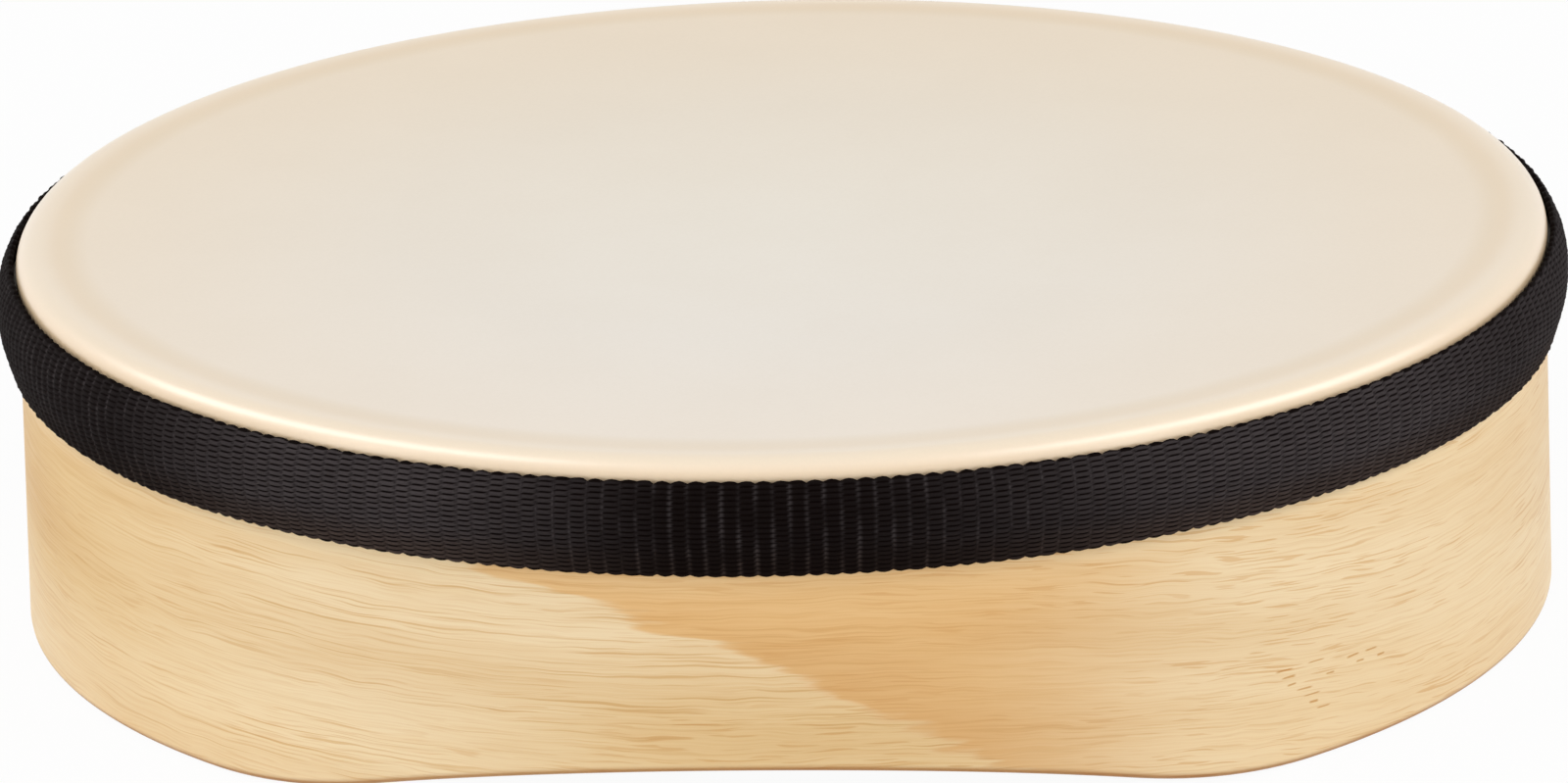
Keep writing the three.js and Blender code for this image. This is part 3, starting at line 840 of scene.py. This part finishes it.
def add_band(material):
    """Woven band: once round, then up a ramp and over its own start."""
    path = band_centre()
    _, _, width = along_path(path, np.zeros(1))
    half = BAND_MM / 2
    rows = np.arange(round((width - 2 * half) / YARN_PITCH_MM) * YARN_STEPS + 1)
    across = half + rows / rows[-1] * (width - 2 * half)
    centre, normal, _ = along_path(path, across)
    outer = centre + half * normal
    inner_at = np.linspace(width - half, half, BAND_INNER_ROWS)
    inner_centre, inner_normal, _ = along_path(path, inner_at)
    inner = inner_centre - half * inner_normal

    def edge(end, outward, way):
        """Half round from the outer to the inner face at one edge of the band."""
        turns = np.radians(BAND_EDGE_TURNS)
        return np.array([end + half * (np.cos(t) * outward + np.sin(t) * way) for t in turns])

    top_way = np.array([-normal[-1][1], normal[-1][0]])
    low_way = -np.array([-normal[0][1], normal[0][0]])
    top = edge(centre[-1], normal[-1], top_way)
    low = edge(centre[0], normal[0], low_way)[::-1]
    section = np.vstack([outer, top, inner, low])
    ways = np.vstack([normal, [top_way] * len(top), -inner_normal, [low_way] * len(low)])
    edges = np.concatenate([0 * across, np.ones(len(top)), 0 * inner_at, np.ones(len(low))])

    lap = LAP_LENGTH_MM / BAND_RADIUS
    ramp = LAP_RAMP_MM / BAND_RADIUS
    start = math.radians(LAP_ANGLE) - lap / 2
    length = (2 * math.pi + lap) * BAND_RADIUS
    stations = int(length / RIB_PITCH_MM * RIB_STEPS)
    along = np.arange(stations + 1) * RIB_PITCH_MM / RIB_STEPS
    angles = start + along / BAND_RADIUS
    climb = np.clip((angles - (angles[-1] - lap - ramp)) / ramp, 0, 1)
    lift = (BAND_MM + BAND_GAP_MM) * climb**2 * (3 - 2 * climb)

    melted = np.clip(np.minimum(along, along[-1] - along) / MELTED_END_MM, 0, 1)[:, None]
    height = np.zeros((len(along), len(section)))
    ground = -RIB_HEIGHT_MM - YARN_HEIGHT_MM / 2
    chance = np.random.default_rng(WEAVE_SEED)
    woven, crown, flank = weave(along, rows, chance)
    height[:, :len(across)] = ground + (woven - ground) * melted
    ribs = (along / RIB_PITCH_MM).astype(int)
    loops = chance.uniform(*LOOP_SHARES, ribs[-1] + 1)[ribs]
    bumps = SELVEDGE_MM * loops * (np.abs(np.sin(math.pi * along / RIB_PITCH_MM)) - 1)
    height += bumps[:, None] * edges[None, :] * melted
    radii = section[None, :, 0] + lift[:, None] + height * ways[None, :, 0]
    heights = section[None, :, 1] + height * ways[None, :, 1]
    points = ring_points(radii, angles[:, None], heights)
    faces = strip_faces(len(angles), len(section))
    piece = add_piece("woven_band", points, faces, material, ["webbing_band"], SHARP_WEAVE)
    for name, share in ((CROWN, crown), (FLANK, flank)):
        marks = np.zeros(height.shape)
        marks[:, :len(across)] = share * melted
        piece.data.attributes.new(name, "FLOAT", "POINT").data.foreach_set("value", marks.ravel())


def add_seam_staples(material):
    """The two staples over the band's lap: flat wire with eased edges, bent round at the shoulders."""
    crown_at = BAND_RADIUS + BAND_MM + BAND_GAP_MM + STAPLE_LIFT_MM
    middle = (HOOP_TOP + HOOP_BOTTOM) / 2
    half = (STAPLE_CROWN_MM - WIRE_THICKNESS_MM) / 2
    wide, thick = WIRE_WIDTH_MM / 2, WIRE_THICKNESS_MM / 2
    bend, ease = WIRE_BEND_MM, WIRE_EASE_MM
    one = [(-half, thick - STAPLE_LEG_MM)]
    for turn in np.radians(WIRE_BEND_TURNS):
        one.append((-half + bend - bend * math.cos(turn), thick - bend + bend * math.sin(turn)))
    path = np.array(one + [(-x, y) for x, y in reversed(one)])
    tangent = np.gradient(path, axis=0)
    tangent /= np.linalg.norm(tangent, axis=1)[:, None]
    across = np.stack([-tangent[:, 1], tangent[:, 0]], axis=1)
    outline = [(wide - ease, thick), (wide, thick - ease), (wide, ease - thick), (wide - ease, -thick),
               (ease - wide, -thick), (-wide, ease - thick), (-wide, thick - ease), (ease - wide, thick)]
    for i, side in enumerate((-0.5, 0.5)):
        angle = math.radians(LAP_ANGLE) + side * STAPLE_SPACING_MM / crown_at
        out = np.array([math.sin(angle), -math.cos(angle), 0])
        round_way = np.array([math.cos(angle), math.sin(angle), 0])
        points = []
        for (height, depth_in), (up_share, out_share) in zip(path, across):
            for flat, raised in outline:
                radius = crown_at + depth_in + raised * out_share
                level = middle + height + raised * up_share
                points.append(out * radius + round_way * flat + np.array([0, 0, level]))
        points = np.array(points) * MM
        faces = strip_faces(len(path), len(outline))
        node = f"seam_staple_{i + 1}"
        add_piece(f"seam_wire_{i + 1}", points, faces, material, [node], SHARP_WIRE)


# Pieces

outer_wood = wood("rubberwood_outside", SHELL_RADIUS, OUTER_SEAM, OUTER_PLY, face=True)
inner_wood = wood("rubberwood_inside", BORE_RADIUS, INNER_SEAM, INNER_PLY)
core_wood = wood("rubberwood_core", CORE_RADIUS, CORE_SEAM, CORE_PLY)
staple_steel = steel()
hoop_plastic = strip_plastic()

add_ply("outer_ply", "shell_outer_ply", SHELL_RADIUS, OUTER_SEAM, outer_wood)
add_ply("core_ply", "shell_core_ply", CORE_RADIUS, CORE_SEAM, core_wood)
add_ply("inner_ply", "shell_inner_ply", INNER_RADIUS, INNER_SEAM, inner_wood)
add_head(film())
add_band(webbing())
add_seam_staples(staple_steel)

for node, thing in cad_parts.items():
    if node.startswith("head_staple"):
        thing.data.materials[0] = staple_steel
    if node == "head_hoop":
        thing.data.materials[0] = hoop_plastic


# Camera, fitted to the outlines in the photograph: degrees, and metres from the drum's foot

VIEW_PITCH = 18.09
VIEW_YAW = 0.146
VIEW_ROLL = -1.643
VIEW_TURN = 3.74
VIEW_DISTANCE = 4.0395
VIEW_TARGET = Vector((-0.01056, 0, 0.03483))
LENS_PER_WIDTH = 15.4634
SENSOR_MM = 36
CLIP_NEAR, CLIP_FAR = 0.01, 50


def add_camera():
    """The camera looks at its target from -Y, is yawed and rolled, and then turned round the drum."""
    pitch, yaw, roll = (math.radians(a) for a in (VIEW_PITCH, VIEW_YAW, VIEW_ROLL))
    ahead = Vector((0, math.cos(pitch), -math.sin(pitch)))
    right = Vector((1, 0, 0))
    up = Vector((0, math.sin(pitch), math.cos(pitch)))
    place = VIEW_TARGET - ahead * VIEW_DISTANCE
    ahead, right = (math.cos(yaw) * ahead + math.sin(yaw) * right,
                    math.cos(yaw) * right - math.sin(yaw) * ahead)
    right, up = (math.cos(roll) * right + math.sin(roll) * up,
                 math.cos(roll) * up - math.sin(roll) * right)
    columns = Matrix((right, up, -ahead)).transposed().to_4x4()
    data = bpy.data.cameras.new("camera")
    data.sensor_fit = "HORIZONTAL"
    data.sensor_width = SENSOR_MM
    data.lens = LENS_PER_WIDTH * SENSOR_MM
    data.clip_start = CLIP_NEAR
    data.clip_end = CLIP_FAR
    camera = bpy.data.objects.new("camera", data)
    turn = Matrix.Rotation(math.radians(VIEW_TURN), 4, "Z")
    camera.matrix_world = turn @ Matrix.Translation(place) @ columns
    bpy.context.scene.collection.objects.link(camera)
    bpy.context.scene.camera = camera


# Floor, lamps and world

WHITE = (1, 1, 1, 1)
AMBIENT = 0.33
FLOOR_HALF = 6.0
FLOOR_COLOUR = (0.86, 0.86, 0.85, 1)
FLOOR_ROUGH = 0.9
FLOOR_GLOW = 0.95

# Name, place, direction of the long side, size, power, and whether glossy faces mirror it
LAMPS = (
    ("softbox_left", (-1.38, -0.12, 1.45), (-0.45, 0.8, -0.33), (2.2, 0.7), 15.5, True),
    ("softbox_right", (1.5, -0.16, 1.28), (0.45, 0.8, -0.33), (2.2, 0.7), 15.5, True),
    ("strip_left", (-1.87, -0.99, 0.63), (0, 0, 1), (1.2, 0.3), 3.2, True),
    ("strip_right", (1.80, -1.26, 0.63), (0, 0, 1), (1.2, 0.3), 3.2, True),
    ("fill_left", (-1.57, -1.87, 0.55), (0.77, -0.64, 0), (1.4, 0.9), 11.0, False),
    ("fill_right", (1.57, -1.87, 0.55), (0.77, 0.64, 0), (1.4, 0.9), 8.5, False),
)


def seen_share(tree):
    """1 for rays that see the background: from the camera, a gloss or a clear body."""
    path = tree.nodes.new("ShaderNodeLightPath")
    total = path.outputs["Is Camera Ray"]
    for name in ("Is Glossy Ray", "Is Transmission Ray"):
        larger = tree.nodes.new("ShaderNodeMath")
        larger.operation = "MAXIMUM"
        tree.links.new(total, larger.inputs[0])
        tree.links.new(path.outputs[name], larger.inputs[1])
        total = larger.outputs[0]
    return total


def add_floor():
    """Pale floor that shows nearly white and keeps the drum's shadow."""
    corners = [(-FLOOR_HALF, -FLOOR_HALF, 0), (FLOOR_HALF, -FLOOR_HALF, 0),
               (FLOOR_HALF, FLOOR_HALF, 0), (-FLOOR_HALF, FLOOR_HALF, 0)]
    mesh = bpy.data.meshes.new("floor")
    mesh.from_pydata(corners, [], [(0, 1, 2, 3)])
    floor = bpy.data.objects.new("floor", mesh)
    bpy.context.scene.collection.objects.link(floor)
    shader = Shader("floor_white")
    shader.set(Base_Color=FLOOR_COLOUR, Roughness=FLOOR_ROUGH)
    glow = shader.add("ShaderNodeEmission")
    shader.put(glow.inputs["Strength"], 1.0)
    blend = shader.add("ShaderNodeMixShader")
    shader.put(blend.inputs[0], shader.times(seen_share(shader.tree), FLOOR_GLOW))
    shader.put(blend.inputs[1], shader.surface.outputs[0])
    shader.put(blend.inputs[2], glow.outputs[0])
    shader.put(shader.tree.nodes["Material Output"].inputs["Surface"], blend.outputs[0])
    mesh.materials.append(shader.material)


def add_world():
    """Soft light from all round, and plain white where the background is seen."""
    world = bpy.data.worlds.new("studio")
    bpy.context.scene.world = world
    world.use_nodes = True
    tree = world.node_tree
    soft = tree.nodes["Background"]
    soft.inputs["Strength"].default_value = AMBIENT
    soft.inputs["Color"].default_value = WHITE
    white = tree.nodes.new("ShaderNodeBackground")
    white.inputs["Color"].default_value = WHITE
    blend = tree.nodes.new("ShaderNodeMixShader")
    tree.links.new(seen_share(tree), blend.inputs[0])
    tree.links.new(soft.outputs[0], blend.inputs[1])
    tree.links.new(white.outputs[0], blend.inputs[2])
    tree.links.new(blend.outputs[0], tree.nodes["World Output"].inputs["Surface"])


def add_lamp(name, place, along, size, power, mirrored):
    """A softbox that faces the drum, its long side along a direction.
    One that isn't mirrored lights without showing in glossy faces."""
    data = bpy.data.lights.new(name, "AREA")
    data.shape = "RECTANGLE"
    data.size, data.size_y = size
    data.energy = power
    lamp = bpy.data.objects.new(name, data)
    behind = (Vector(place) - Vector((0, 0, HEAD_TOP * MM / 2))).normalized()
    long_side = Vector(along)
    long_side = (long_side - behind * long_side.dot(behind)).normalized()
    turn = Matrix((long_side, behind.cross(long_side), behind)).transposed().to_4x4()
    lamp.matrix_world = Matrix.Translation(place) @ turn
    lamp.visible_glossy = mirrored
    bpy.context.scene.collection.objects.link(lamp)


add_camera()
add_floor()
add_world()
for lamp in LAMPS:
    add_lamp(*lamp)

bpy.context.scene.view_settings.view_transform = "Standard"
